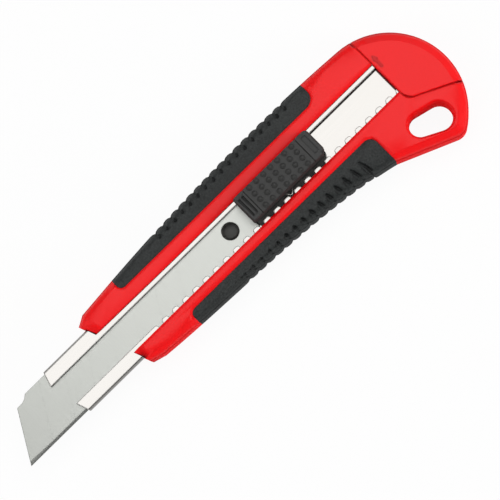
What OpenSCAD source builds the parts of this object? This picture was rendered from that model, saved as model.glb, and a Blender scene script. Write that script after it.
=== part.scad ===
// Snap-off utility knife for 18 mm blades: a moulded handle with two soft grips, a steel
// channel whose toothed lip makes the ratchet, a slider that carries the blade, and an end cap.
// X runs from the blade's tip to the tail, Y towards the spine, Z up through the slider's face.
// The origin lies on the flat back, on the blade's centreline, halfway along the handle.

/* [Handle] */
// Length of the handle, from nose to tail
body_l = 143.9; // [136:0.2:160]
// Thickness of the handle
body_t = 13; // [12:0.5:16]
// Height of the bevel round both faces
bevel_h = 2.3; // [2:0.1:3.2]
// Width of the bevel along the sides
bevel_w = 2.2; // [1.4:0.1:2.6]
// Width of the bevel across the nose
bevel_nose_w = 3.3; // [2:0.1:4]
// Width of the bevel round the tail
bevel_tail_w = 2.9; // [1.6:0.1:3.4]
// Lean of the nose, from straight across
nose_slant = 20.7; // [10:0.1:28]
// Spine side: reach of the nose's tip beyond the channel's side
nose_spine_over = 2.3; // [1.6:0.1:3]
// Edge side: reach of the nose's tip beyond the channel's side
nose_edge_over = 2.2; // [1.6:0.1:2.6]
// Length of the corner that cuts the nose on the spine side
nose_spine_cut = 3.55; // [1:0.05:5]
// Length of the corner that cuts the nose on the edge side
nose_edge_cut = 4.45; // [1:0.05:7]
// Reach of the spine beyond the channel's side, just behind the nose
spine_front_over = 4.3; // [4:0.1:5]
// Reach of the spine beyond the channel's side, where its grip starts
spine_grip_over = 5.6; // [5.2:0.1:6.4]
// Climb of the spine where its grip starts, in degrees
spine_climb = 4.8; // [3:0.1:6]
// Fall of the spine where it meets the tail, in degrees
spine_fall = 3.8; // [2:0.1:6]
// Reach of the edge side beyond the channel's side, just behind the nose
edge_front_over = 3.45; // [3:0.05:4.2]
// Reach of the edge side beyond the channel's side, where its grip ends
edge_rear_over = 11.7; // [11:0.1:12.3]
// Fall of the edge side at the front, in degrees
edge_fall_front = 4.7; // [3:0.1:6]
// Fall of the edge side where its grip ends, in degrees
edge_fall_rear = 13.1; // [10:0.1:15]
// Fall of the edge side behind its grip, in degrees
edge_fall_tail = 23; // [21:0.1:25]
// Radius of the round tail
tail_r = 25.2; // [24:0.1:26]
// Depth of the round tail's centre below the centreline
tail_y = 8.2; // [7.4:0.1:9]
// Radius of the tail's lower corner
tail_corner_r = 4.6; // [3:0.1:7]

/* [Slot and lanyard hole] */
// Distance from the centreline to the slot's side towards the spine
slot_spine_y = 5.95; // [5.6:0.05:6.4]
// Distance from the centreline to the slot's side towards the edge
slot_edge_y = 6.2; // [5.8:0.05:6.5]
// How much wider the slot is at the nose, towards the spine
slot_flare = 0.4; // [0.1:0.05:0.7]
// Length over which the slot narrows behind the nose
slot_flare_l = 37; // [20:1:50]
// Height of the bevel along the slot's edges
slot_bevel = 0.6; // [0.2:0.1:0.9]
// Width of that bevel
slot_bevel_w = 0.95; // [0.5:0.05:1.2]
// Width of that bevel at the nose, towards the spine
slot_bevel_front = 0.3; // [0.2:0.05:0.8]
// How far the rails stand above the channel's lips
rail_over = 1.5; // [1.1:0.1:1.8]
// Lanyard hole: radius of its front end
hole_front_r = 3.7; // [3.4:0.05:4.2]
// Lanyard hole: radius of its rear end
hole_rear_r = 4.45; // [4:0.1:4.9]
// Lanyard hole: front centre, ahead of the tail's end
hole_front_back = 21.4; // [21:0.1:22.5]
// Lanyard hole: front centre, below the centreline
hole_front_y = 18.5; // [18:0.1:18.8]
// Lanyard hole: distance between its two centres
hole_step = 6.45; // [4:0.05:7]
// Lanyard hole: lean of the line through its centres, in degrees
hole_lean = 20.5; // [17:0.5:24]
// Lanyard hole: width of the rounding along its edges
hole_round_w = 1; // [0.4:0.05:1.3]
// Lanyard hole: depth of that rounding
hole_round_h = 3.6; // [1.5:0.1:5]

/* [Grips] */
// Depth of a grip's face below the handle's face
grip_drop = 0.5; // [0.2:0.1:0.9]
// Width of the handle's rim that slopes down to a grip
grip_rim = 0.9; // [0.4:0.1:1.1]
// Thickness of a grip on the faces
grip_t = 1.6; // [1.3:0.1:2.2]
// Thickness of a grip on the side
grip_side_t = 2; // [1.8:0.1:2.1]
// Thickness of a grip where it lies over the wall beside the channel
grip_lip_t = 0.4; // [0.3:0.05:0.6]
// Length of that wall's part under a grip
grip_wall = 0.8; // [0.5:0.1:1.2]
// Spine grip: start behind the nose
spine_grip_start = 17.9; // [14:0.05:24]
// Spine grip: end ahead of the tail's end
spine_grip_end = 39.4; // [36:0.1:50]
// Spine grip: distance from the channel's side to its inner edge
spine_grip_gap = 1.05; // [0.8:0.05:1.5]
// Edge grip: start behind the nose
edge_grip_start = 28.75; // [22:0.05:34]
// Edge grip: end ahead of the tail's end
edge_grip_end = 34.9; // [34:0.1:38]
// Edge grip: distance from the channel's side to its inner edge
edge_grip_gap = 0.1; // [0.05:0.05:0.3]
// Radius of a grip's front corner
grip_front_r = 2; // [0.8:0.1:2.4]
// Spine grip: radius of its rear corner
spine_grip_r = 3.6; // [1.5:0.1:4]
// Edge grip: radius of its rear corner
edge_grip_r = 3.1; // [1.5:0.1:4]
// Spine grip: plain length ahead of its first scallop
scallop_lead = 20.4; // [12:0.1:24]
// Spine grip: plain length behind its last scallop, at least
scallop_rest = 7.5; // [5:0.1:12]
// Distance between two scallops of the spine grip
scallop_pitch = 3.56; // [3:0.02:4.5]
// Depth of a scallop
scallop_depth = 0.55; // [0.2:0.05:0.8]
// How much deeper than on the side the scallops and grooves are on the faces
pattern_face = 1.6; // [1:0.1:1.8]
// Edge grip: plain length ahead of its first groove
groove_lead = 20.8; // [12:0.1:24]
// Edge grip: plain length behind its last groove, at least
groove_rest = 7; // [5:0.1:12]
// Distance between two grooves of the edge grip
groove_pitch = 3.62; // [3:0.02:4.5]
// Width of a groove
groove_w = 1.7; // [1:0.1:2.2]
// Depth of a groove
groove_depth = 0.5; // [0.2:0.05:0.7]
// Lean of a groove, in degrees
groove_lean = 13; // [0:1:20]
// Distance from the channel's side at which the grooves start
groove_top_over = 3.4; // [3:0.1:3.9]

/* [Channel] */
// Outer height of the channel
channel_h = 3; // [2.8:0.1:3.6]
// Thickness of the channel's steel
channel_t = 0.5; // [0.4:0.05:0.6]
// Outer bend radius
channel_bend = 0.9; // [0.7:0.05:1.2]
// How far the channel reaches out of the nose
channel_out = 19.5; // [10:0.5:24]
// How far the channel's slanted front falls back at its spine side
front_back_spine = 1.85; // [0.5:0.05:3]
// How far the channel's slanted front falls back at its edge side
front_back_edge = 4.2; // [2.5:0.1:6]
// Share of that fall that lies beyond the lips' opening
front_back_share = 0.48; // [0.3:0.01:0.7]
// How far the channel reaches under the end cap
channel_under = 5; // [3:0.5:7]
// Distance from the centreline to the plain lip
lip_spine_y = 4.55; // [4.3:0.05:4.8]
// Distance from the centreline to the tips of the toothed lip
lip_edge_y = 4.9; // [4.6:0.05:5.1]
// Distance from the handle's nose to the first notch of the ratchet
notch_start = 18.45; // [16:0.05:22]
// Distance between two notches of the ratchet
notch_pitch = 4.52; // [4:0.01:5]
// Width of a notch
notch_w = 1.9; // [1.7:0.05:2.3]
// Depth of a notch
notch_d = 1.8; // [1.5:0.1:2.2]
// Radius of a tooth's corners
tooth_r = 0.85; // [0.2:0.05:1]

/* [Blade] */
// Width of the blade
blade_w = 18; // [17.8:0.1:18.2]
// Thickness of the blade
blade_t = 0.5; // [0.4:0.05:0.6]
// Length of the blade along its cutting edge
blade_l = 105.2; // [98:0.5:110]
// Angle between the cutting edge and the slanted end
blade_angle = 60; // [50:1:70]
// Length of one snap-off segment
segment_l = 10; // [8:0.5:12]
// Number of score lines
score_count = 7; // [4:1:8]
// Depth of a score line
score_d = 0.04; // [0.03:0.01:0.2]
// Width of the ground bevel
grind_w = 1.3; // [0.8:0.1:2]
// Length of the cut at the slanted end's back corner
blade_cut_l = 4; // [2:0.1:6]
// Depth of that cut
blade_cut_d = 1.55; // [0.8:0.05:2.2]
// Distance from the blade's rear end to its hole
blade_hole_back = 7.8; // [6.5:0.1:10]

/* [Slider] */
// Notches between the front end of the ratchet and the slider at rest
rest_count = 13; // [12:1:14]
// Length of the slider
slider_l = 32.1; // [31:0.1:33]
// Distance from the slider's front to the bump of its spring
bump_back = 14.9; // [12:0.1:18]
// Width of the slider's top
slider_w = 9.6; // [9:0.05:10]
// Gap between the slider and the rail on the spine side
slider_gap = 0.45; // [0.3:0.05:0.8]
// Height of the slider above the handle's face
slider_over = 6.5; // [4:0.1:9]
// Distance from the stud to the slider's front
stud_ahead = 7.3; // [6.5:0.1:8]
// Radius of the stud that the blade hangs on
stud_r = 2.85; // [2:0.05:3.2]
// Thickness of the tongue under the blade
tongue_t = 0.7; // [0.5:0.05:0.8]
// Length of the block at the slider's front
front_block_l = 4.2; // [3.5:0.1:5.5]
// Length of the block at the slider's rear
rear_block_l = 4.7; // [3.5:0.1:5.5]
// Radius of the slider's rear corners
slider_corner = 1.4; // [0.5:0.1:2]
// Edge broken along the slider's top
slider_edge = 0.6; // [0.2:0.1:1]
// Distance between the two grooves on the front block
block_groove_pitch = 1.5; // [1.1:0.1:1.8]
// Width of those grooves
block_groove_w = 0.45; // [0.2:0.05:0.7]
// Depth of those grooves
block_groove_d = 0.35; // [0.1:0.05:0.6]
// Distance from their ends to the slider's sides
block_groove_rest = 1.6; // [1:0.1:2.5]
// Depth of the thumb pad's seat
pad_t = 2.6; // [1.5:0.1:3.5]
// Nubs along the pad
nub_cols = 7; // [4:1:8]
// Nubs across the pad
nub_rows = 4; // [2:1:4]
// Distance between nubs, along the pad
nub_pitch_x = 3.09; // [2.4:0.01:3.16]
// Distance between nubs, across the pad
nub_pitch_y = 2.5; // [2:0.05:2.7]
// Radius of a nub
nub_r = 1; // [0.5:0.05:1.1]
// Height of a nub
nub_h = 0.45; // [0.2:0.05:0.7]
// Gap between the pad and a block
pad_gap = 0.2; // [0.1:0.05:0.4]
// Thickness of the ratchet spring
spring_t = 0.35; // [0.2:0.05:0.4]
// Height of the ratchet spring's strip
spring_h = 1.1; // [0.8:0.1:1.2]
// Reach of the spring's bump from its strip
bump_d = 1.75; // [1.3:0.05:2]
// Width of the spring's bump at its foot
bump_w = 3.5; // [3:0.1:4.5]

/* [End cap] */
// Distance from the cap's front to the tail's end
cap_l = 18.6; // [17.5:0.1:20.5]
// Depth below the centreline at which the joint line turns
cap_turn_y = 7.25; // [6.5:0.05:9]
// Radius of that turn
cap_turn_r = 3.8; // [1:0.1:4]
// Fall of the joint line towards the tail, in degrees
cap_lean = 25.6; // [22:0.1:28]
// Gap along the joint line
cap_gap = 0.2; // [0.15:0.05:0.35]
// Length of the dovetail that guides the cap
dovetail_l = 15; // [8:0.5:17]
// Height of the dovetail's middle over the centreline
dovetail_y = 2; // [0:0.1:4]
// How far the dovetail stands out
dovetail_d = 3.5; // [2:0.1:4.5]

/* [Fits] */
// Clearance between the channel and its pocket, at the sides and above
channel_fit = 0.1; // [0.05:0.05:0.2]
// Clearance between the blade's long sides and the channel
blade_fit = 0.2; // [0.15:0.05:0.3]
// Clearance between what slides and the channel
slide_fit = 0.15; // [0.1:0.05:0.25]
// Clearance between parts that are pushed together
push_fit = 0.05; // [0.02:0.01:0.1]

/* [Hidden] */
$fn = 48;
far = 60;
eps = 0.01;

red = [0.91, 0.2, 0.2];
black = [0.2, 0.2, 0.2];
steel = [0.93, 0.92, 0.89];

// The channel's width, and the heights that are counted from its side
channel_w = blade_w + 2 * (channel_t + blade_fit);
side_y = channel_w / 2;
nose_spine_y = side_y + nose_spine_over;
nose_edge_y = side_y + nose_edge_over;
spine_front_y = side_y + spine_front_over;
spine_grip_y = side_y + spine_grip_over;
edge_front_y = side_y + edge_front_over;
edge_rear_y = side_y + edge_rear_over;
spine_grip_in = side_y + spine_grip_gap;
edge_grip_in = side_y + edge_grip_gap;
groove_top_y = side_y + groove_top_over;

// Places along the handle, and with a grip's two ends the radius of its rear corner
nose_x = -body_l / 2;
tail_x = body_l / 2;
cap_x = tail_x - cap_l;
tail_c = [tail_x - tail_r, -tail_y];
spine_grip_x = [nose_x + spine_grip_start, tail_x - spine_grip_end, spine_grip_r];
edge_grip_x = [nose_x + edge_grip_start, tail_x - edge_grip_end, edge_grip_r];

// Heights through the handle
lip_z = body_t - rail_over;
channel_z = lip_z - channel_h;
floor_z = channel_z + channel_t;
under_lip_z = lip_z - channel_t;
carrier_z = floor_z + slide_fit;
blade_z = carrier_z + tongue_t;
button_z = lip_z + slide_fit;
slider_top_z = body_t + slider_over;

// Places along the ratchet and the slider
notch_x = nose_x + notch_start;
notch_root_y = lip_edge_y + notch_d;
channel_x = [nose_x - channel_out, cap_x + channel_under];
notch_count = floor((cap_x - notch_x - 1) / notch_pitch) + 1;
bump_x = notch_x + notch_w / 2 + rest_count * notch_pitch;
slider_x = bump_x - bump_back;
slider_end_x = slider_x + slider_l;
stud_x = slider_x - stud_ahead;
blade_end_x = stud_x + blade_hole_back;
blade_tip_x = blade_end_x - blade_l;
slider_top_y = slot_spine_y - slider_gap;
slider_y = slider_top_y - slider_w;

// ---- Curves ----

function along(c, r, a) = c + r * [cos(a), sin(a)];

function arc(c, r, a0, a1, n) = [for (i = [0:n]) along(c, r, a0 + (a1 - a0) * i / n)];

function mix(a, b, t) = a + (b - a) * t;

function soft(t) = t <= 0 ? 0 : t >= 1 ? 1 : t * t * (3 - 2 * t);

function cubic(y0, y1, y2, y3, t) =
    pow(1 - t, 3) * y0 + 3 * pow(1 - t, 2) * t * y1 + 3 * (1 - t) * t * t * y2 + pow(t, 3) * y3;

// The spine and the edge side are cubics over X, with a given slope at each end
spine_end = along(tail_c, tail_r, 90 - spine_fall);
spine_third = (spine_end.x - spine_grip_x[0]) / 3;
nose_spine_x = nose_x + nose_spine_cut;

function spine_y(x) =
    x < spine_grip_x[0]
        ? mix(spine_front_y, spine_grip_y, (x - nose_spine_x) / (spine_grip_x[0] - nose_spine_x))
        : cubic(
            spine_grip_y,
            spine_grip_y + spine_third * tan(spine_climb),
            spine_end.y + spine_third * tan(spine_fall),
            spine_end.y,
            (x - spine_grip_x[0]) / (3 * spine_third)
        );

nose_edge_x = nose_x + (nose_spine_y + nose_edge_y) * tan(nose_slant);
edge_start_x = nose_edge_x + nose_edge_cut;
edge_third = (edge_grip_x[1] - edge_start_x) / 3;

function edge_y(x) =
    x > edge_grip_x[1]
        ? edge_rear_y + (x - edge_grip_x[1]) * tan(edge_fall_tail)
        : cubic(
            edge_front_y,
            edge_front_y + edge_third * tan(edge_fall_front),
            edge_rear_y - edge_third * tan(edge_fall_rear),
            edge_rear_y,
            (x - edge_start_x) / (3 * edge_third)
        );

// The tail's lower corner touches the straight edge side and the round tail
edge_dir = [cos(edge_fall_tail), -sin(edge_fall_tail)];
corner_from = [edge_grip_x[1], -edge_rear_y] + tail_corner_r * [-edge_dir.y, edge_dir.x] - tail_c;
corner_half = corner_from * edge_dir;
corner_rest = corner_from * corner_from - pow(tail_r - tail_corner_r, 2);
corner_along = -corner_half + sqrt(corner_half * corner_half - corner_rest);
corner_rel = corner_from + corner_along * edge_dir;
corner_a = atan2(corner_rel.y, corner_rel.x);

// The handle's outline, counterclockwise, starting at the nose's lower tip
function outline() = concat(
    [[nose_edge_x, -nose_edge_y]],
    [for (i = [0:16]) let (x = mix(edge_start_x, edge_grip_x[1], i / 16)) [x, -edge_y(x)]],
    arc(tail_c + corner_rel, tail_corner_r, -90 - edge_fall_tail, corner_a, 8),
    [for (i = [1:32]) along(tail_c, tail_r, mix(corner_a, 90 - spine_fall, i / 32))],
    [for (i = [15:-1:0]) let (x = mix(spine_grip_x[0], spine_end.x, i / 16)) [x, spine_y(x)]],
    [[nose_spine_x, spine_front_y], [nose_x, nose_spine_y]]
);

function normal(a, b) = let (d = (b - a) / norm(b - a)) [d.y, -d.x];

// The side's bevel grows to the tail's bevel over this run, which starts ahead of the edge grip's end
bevel_change = 30;
bevel_change_ahead = 8;

// How far the side from a to b moves inwards, for a share of the sides' bevel and one of the nose's
function move_in(a, b, sides, nose) =
    a.x == nose_x && b.x == nose_edge_x
        ? nose * bevel_nose_w
        : let (x = (a.x + b.x) / 2 - edge_grip_x[1] + bevel_change_ahead)
          sides * mix(bevel_w, bevel_tail_w, soft(x / bevel_change));

// A corner that turns less than this moves straight inwards, whatever its two sides do
gentle_turn = 0.12;

// The outline moved inwards
function inset(p, sides, nose) = [
    for (i = [0:len(p) - 1])
        let (
            a = p[(i + len(p) - 1) % len(p)],
            b = p[(i + 1) % len(p)],
            n0 = normal(a, p[i]),
            n1 = normal(p[i], b),
            d0 = move_in(a, p[i], sides, nose),
            d1 = move_in(p[i], b, sides, nose),
            det = n0.x * n1.y - n0.y * n1.x
        )
        abs(det) < gentle_turn
            ? p[i] - (n0 + n1) / norm(n0 + n1) * (d0 + d1) / 2
            : p[i] - [d0 * n1.y - d1 * n0.y, d1 * n0.x - d0 * n1.x] / det
];

// ---- Solids from curves ----

// Rings with the same number of points, joined upwards, each closed by a fan about c
module loft(rings, zs, c = [0, 0]) {
    n = len(rings[0]);
    top = (len(rings) - 1) * n;
    hub = len(rings) * n;
    points = concat(
        [for (k = [0:len(rings) - 1], p = rings[k]) [p.x, p.y, zs[k]]],
        [[c.x, c.y, zs[0]], [c.x, c.y, zs[len(zs) - 1]]]
    );
    walls = [
        for (k = [0:len(rings) - 2], i = [0:n - 1])
            let (a = k * n + i, b = k * n + (i + 1) % n)
            each [[a, a + n, b + n], [a, b + n, b]]
    ];
    ends = [
        for (i = [0:n - 1])
            each [[hub, i, (i + 1) % n], [hub + 1, top + (i + 1) % n, top + i]]
    ];
    polyhedron(points, concat(walls, ends));
}

// A solid along X: mirror-image sections, each a line of points from its top inner end to its bottom one
module sweep(lines) {
    m = len(lines[0]);
    s = len(lines);
    walls = [
        for (i = [0:s - 2], j = [0:m - 1])
            let (k = (j + 1) % m, a = i * m + j, b = i * m + k)
            each [[a, b + m, a + m], [a, b, b + m]]
    ];
    ends = [
        for (j = [0:m / 2 - 2])
            let (a = j, b = j + 1, c = m - 2 - j, d = m - 1 - j, e = (s - 1) * m)
            each [
                [a, c, b], [a, d, c],
                [e + a, e + b, e + c], [e + a, e + c, e + d]
            ]
    ];
    polyhedron([for (line = lines, p = line) p], concat(walls, ends));
}

module along_x(x0, x1) {
    translate([x0, 0, 0]) rotate([90, 0, 90]) linear_extrude(x1 - x0) children();
}

// The handle: its nose stands straight up to the channel's lips and slopes back over them
module handle_solid() {
    p = outline();
    part_way = inset(p, 1 - rail_over / bevel_h, 0);
    loft(
        [inset(p, 1, 1), part_way, p, p, part_way, inset(p, 1, 1)],
        [0, rail_over, bevel_h, body_t - bevel_h, lip_z, body_t]
    );
}

// ---- Joint line between the handle and its cap ----

// The cap's side of the joint line, moved towards the handle by g
function cap_side(g) =
    let (
        c = [cap_x + cap_turn_r, -cap_turn_y],
        down = [cos(cap_lean), -sin(cap_lean)],
        turn = arc(c, cap_turn_r + g, 180, 270 - cap_lean, 8)
    )
    concat([[cap_x - g, far]], turn, [turn[8] + far * down, [far + cap_x, far]]);

module cap_region(g) {
    translate([0, 0, -1]) linear_extrude(body_t + 2) polygon(cap_side(g));
}

dovetail_z = [2.4, 7];
dovetail_flare = 1;

// The dovetail, or with a gap g round it the groove that it leaves through
module dovetail(g) {
    run = dovetail_l + (g > 0 ? far : 0);
    root = [dovetail_z[0] + dovetail_flare - g, dovetail_z[1] - dovetail_flare + g];
    translate([0, dovetail_y + dovetail_l / 2 + g, 0])
        rotate([90, 0, 0])
            linear_extrude(run + g)
                polygon([
                    [cap_x - cap_gap - 1, root[0]],
                    [cap_x - cap_gap, root[0]],
                    [cap_x + dovetail_d + g, dovetail_z[0] - g],
                    [cap_x + dovetail_d + g, dovetail_z[1] + g],
                    [cap_x - cap_gap, root[1]],
                    [cap_x - cap_gap - 1, root[1]]
                ]);
}

// ---- Grips ----

grip_top_z = body_t - grip_drop;

// Height of a grip's inner edge at x, with a rounded corner at each end
function grip_in(x, ends, y) =
    let (
        a = max(grip_front_r - (x - ends[0]), 0),
        b = max(ends[2] - (ends[1] - x), 0)
    )
    y + (a > 0 ? grip_front_r - sqrt(max(pow(grip_front_r, 2) - a * a, 0)) : 0)
      + (b > 0 ? ends[2] - sqrt(max(pow(ends[2], 2) - b * b, 0)) : 0);

front_steps = 5;
rear_steps = 7;

function corner_stations(ends) = concat(
    [for (i = [0:front_steps]) ends[0] + grip_front_r * (1 - cos(i * 90 / front_steps))],
    [for (i = [0:rear_steps]) ends[1] - ends[2] * (1 - sin(i * 90 / rear_steps))]
);

// Stations on each repeat of a pattern: on its hump, on both of its slopes and in its valley
function pattern_stations(first, count, pitch, slope) = concat(
    [for (k = [0:count - 1], f = [-0.5, -slope, 0, slope]) first + (k + f) * pitch],
    [first + (count - 0.5) * pitch]
);

function ordered(v) =
    len(v) < 2 ? v : let (
        m = v[floor(len(v) / 2)],
        less = [for (x = v) if (x < m - eps) x],
        more = [for (x = v) if (x > m + eps) x]
    )
    concat(ordered(less), [m], ordered(more));

scallop_first = spine_grip_x[0] + scallop_lead;
scallop_count = floor((spine_grip_x[1] - scallop_rest - scallop_first) / scallop_pitch) + 1;
groove_first = edge_grip_x[0] + groove_lead;
groove_count = floor((edge_grip_x[1] - groove_rest - groove_first) / groove_pitch) + 1;

spine_stations = ordered(concat(
    corner_stations(spine_grip_x),
    [for (i = [1:4]) mix(spine_grip_x[0] + grip_front_r, scallop_first, i / 6)],
    pattern_stations(scallop_first, scallop_count, scallop_pitch, 0.22)
));

edge_stations = ordered(concat(
    corner_stations(edge_grip_x),
    [for (i = [1:4]) mix(edge_grip_x[0] + grip_front_r, groove_first, i / 6)],
    pattern_stations(groove_first, groove_count, groove_pitch, groove_w / groove_pitch / 2)
));

// How deep a pattern is at x: 1 in a valley, low on its slopes and 0 on a hump or beside the pattern
function valley(x, first, count, pitch, power) =
    let (f = (x - first) / pitch, k = round(f))
    k < 0 || k >= count ? 0 : pow(max(1 - 2 * abs(f - k), 0), power);

// Where a pattern is, its lines lean over the grip: the shift along X at o outwards
function lean_shift(x, o) =
    let (a = groove_first - groove_pitch / 2, b = groove_first + (groove_count - 0.5) * groove_pitch)
    o * tan(groove_lean) * soft((x - a) / groove_pitch) * soft((b - x) / groove_pitch);

// A point on the grip's nominal face, o inside the outline
function face_z(o) = min(grip_top_z, body_t - bevel_h + bevel_h * o / bevel_w);

crease = bevel_w * (1 - grip_drop / bevel_h);

// One section's upper half, from the inner edge to the side
function spine_top(x) =
    let (
        yo = spine_y(x),
        yi = grip_in(x, spine_grip_x, spine_grip_in),
        s = valley(x, scallop_first, scallop_count, scallop_pitch, 2.4),
        d = scallop_depth * s
    )
    [
        [x, yi, grip_top_z],
        [x, mix(yi, yo - crease, 0.75), grip_top_z],
        [x, yo - crease - 0.3 * s, grip_top_z - pattern_face * d],
        [x, yo - crease / 2 - 0.5 * d, face_z(crease / 2) - d * (1 + pattern_face) / 2],
        [x, yo - d, body_t - bevel_h]
    ];

function edge_top(x) =
    let (
        yo = edge_y(x),
        yi = grip_in(x, edge_grip_x, edge_grip_in),
        near = max(mix(yi, yo - crease, 0.4), min(groove_top_y, yo - crease)),
        d = groove_depth * valley(x, groove_first, groove_count, groove_pitch, 3),
        at = [yi, near, min(near + 0.8, yo - crease + 0.1), max(yo - crease, near + 1), yo - crease / 2.5]
    )
    concat(
        [
            for (j = [0:4])
                let (y = at[j])
                [x + lean_shift(x, max(y - groove_top_y, 0)), -y, face_z(yo - y) - (j < 2 ? 0 : d * pattern_face)]
        ],
        [[x + lean_shift(x, yo - groove_top_y), d - yo, body_t - bevel_h]]
    );

function mirrored(half) =
    concat(half, [for (j = [len(half) - 1:-1:0]) [half[j].x, half[j].y, body_t - half[j].z]]);

// What stays of the handle inside a grip: its middle, and the wall beside the channel
module grip_core(side) {
    ends = side > 0 ? spine_grip_x : edge_grip_x;
    x0 = ends[0] - 1;
    x1 = ends[1] + 1;
    knots = [for (i = [0:12]) mix(x0, x1, i / 12)];
    wall_y = grip_wall + (side > 0 ? spine_grip_in : edge_grip_in);
    translate([0, 0, grip_drop + grip_t])
        linear_extrude(body_t - 2 * (grip_drop + grip_t))
            polygon(concat(
                [for (x = knots) [x, side * ((side > 0 ? spine_y(x) : edge_y(x)) - grip_side_t)]],
                [[x1, 0], [x0, 0]]
            ));
    translate([x0, min(0, side * wall_y), grip_drop + grip_lip_t])
        cube([x1 - x0, wall_y, body_t - 2 * (grip_drop + grip_lip_t)]);
}

module grip_space(side) {
    ends = side > 0 ? spine_grip_x : edge_grip_x;
    difference() {
        translate([0, 0, -1])
            linear_extrude(body_t + 2)
                mirror([0, side > 0 ? 0 : 1])
                    polygon(grip_plan(ends, side > 0 ? spine_grip_in : edge_grip_in, 0));
        grip_core(side);
    }
}

// A grip's outline in plan, made wider by g on the sides that meet the handle's face
function grip_plan(ends, y, g) = concat(
    [[ends[1] + g, far], [ends[0] - g, far]],
    arc([ends[0] + grip_front_r, y + grip_front_r], grip_front_r + g, 180, 270, front_steps),
    arc([ends[1] - ends[2], y + ends[2]], ends[2] + g, 270, 360, rear_steps)
);

// The slope from the handle's face down to a grip, on the spine side of both faces
module grip_slope(ends, y) {
    c = [(ends[0] + ends[1]) / 2, far / 2];
    past = grip_rim * (1 + 1 / grip_drop);
    for (side = [0, 1])
        translate([0, 0, side * body_t]) mirror([0, 0, side])
            loft(
                [grip_plan(ends, y, past), grip_plan(ends, y, 0)],
                [-1, grip_drop],
                c
            );
}

// ---- Lanyard hole ----

hole_a = [tail_x - hole_front_back, -hole_front_y];
hole_b = along(hole_a, hole_step, -hole_lean);
hole_turn = acos((hole_front_r - hole_rear_r) / hole_step);

function hole_ring(g) = concat(
    arc(hole_b, hole_rear_r + g, -hole_lean - hole_turn, -hole_lean + hole_turn, 16),
    arc(hole_a, hole_front_r + g, -hole_lean + hole_turn, 360 - hole_lean - hole_turn, 16)
);

// How far the hole is wider at a share t of the rounding's depth: a quarter of an oval
function hole_wider(t) = hole_round_w * (1 - sqrt(1 - t * t));

module lanyard_hole() {
    round_shares = [1, 0.92, 0.7, 0.4, 0];
    up = [for (t = round_shares) hole_ring(hole_wider(t))];
    low = [for (t = round_shares) hole_round_h * (1 - t)];
    loft(
        concat([up[0]], up, [for (i = [4:-1:0]) up[i]], [up[0]]),
        concat([-1], low, [for (i = [4:-1:0]) body_t - low[i]], [body_t + 1]),
        (hole_a + hole_b) / 2
    );
}

// ---- Handle ----

// The channel's pocket
module pocket() {
    translate([nose_x - 1, -side_y - channel_fit, channel_z])
        cube([cap_x - nose_x + 1, channel_w + 2 * channel_fit, channel_h + channel_fit]);
}

// The slot in plan, its sides moved out: at the nose, behind its flare and towards the edge
function slot_plan(nose, rear, edge) =
    let (x0 = nose_x - 1, x1 = cap_x, y = slot_spine_y + slot_flare + nose)
    [
        [x0, -slot_edge_y - edge], [x1, -slot_edge_y - edge],
        [x1, slot_spine_y + rear], [nose_x + slot_flare_l, slot_spine_y + rear],
        [nose_x, y], [x0, y]
    ];

module slot() {
    past = 1 + 1 / slot_bevel;
    straight = slot_plan(0, 0, 0);
    loft(
        [straight, straight, slot_plan(slot_bevel_front * past, slot_bevel_w * past, slot_bevel_w * past)],
        [lip_z, body_t - slot_bevel, body_t + 1]
    );
}

module body_shell() {
    color(red) {
        difference() {
            handle_solid();
            cap_region(cap_gap);
            pocket();
            slot();
            grip_space(1);
            grip_space(-1);
            grip_slope(spine_grip_x, spine_grip_in);
            mirror([0, 1, 0]) grip_slope(edge_grip_x, edge_grip_in);
            lanyard_hole();
        }
        dovetail(0);
    }
}

module spine_grip() {
    color(black)
        difference() {
            sweep([for (x = spine_stations) mirrored(spine_top(x))]);
            grip_core(1);
        }
}

module edge_grip() {
    color(black)
        difference() {
            mirror([0, 1, 0])
                sweep([for (x = edge_stations) [for (p = mirrored(edge_top(x))) [p.x, -p.y, p.z]]]);
            grip_core(-1);
        }
}

module end_cap() {
    color(red)
        difference() {
            intersection() {
                handle_solid();
                cap_region(0);
            }
            dovetail(cap_gap);
            translate([cap_x - 1, -far, channel_z - cap_gap])
                cube([
                    channel_under + 1 + 2 * cap_gap,
                    far + side_y + cap_gap,
                    channel_h + 2 * cap_gap
                ]);
        }
}

// ---- Channel ----

// Half of the channel's section, from the middle of its floor to a lip that ends at y
function channel_half(y) =
    let (w = side_y, r = channel_bend, q = channel_bend - channel_t)
    concat(
        [[0, channel_z]],
        arc([w - r, channel_z + r], r, -90, 0, 5),
        arc([w - r, lip_z - r], r, 0, 90, 5),
        [[y, lip_z], [y, under_lip_z]],
        arc([w - r, lip_z - r], q, 90, 0, 5),
        arc([w - r, channel_z + r], q, 0, -90, 5),
        [[0, floor_z]]
    );

// The toothed lip in plan: notches with rounded mouths along its free edge
function toothed_lip() =
    let (y = -lip_edge_y, r = tooth_r)
    concat(
        [[channel_x[1], -notch_root_y - 0.5], [channel_x[0] - 1, -notch_root_y - 0.5],
            [channel_x[0] - 1, y]],
        [
            for (k = [0:notch_count - 1])
                let (a = notch_x + k * notch_pitch, b = a + notch_w)
                each concat(
                    arc([a - r, y - r], r, 90, 0, 4),
                    [[a, -notch_root_y], [b, -notch_root_y]],
                    arc([b + r, y - r], r, 180, 90, 4)
                )
        ],
        [[channel_x[1], y]]
    );

// What the slanted front end leaves of the channel
function channel_front() =
    let (x = channel_x[0], w = side_y + 1, inner_x = x + front_back_edge * (1 - front_back_share))
    [
        [x + front_back_spine, w], [x, lip_spine_y], [inner_x, -lip_edge_y], [x + front_back_edge, -w],
        [2 * far, -w], [2 * far, w]
    ];

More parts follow.
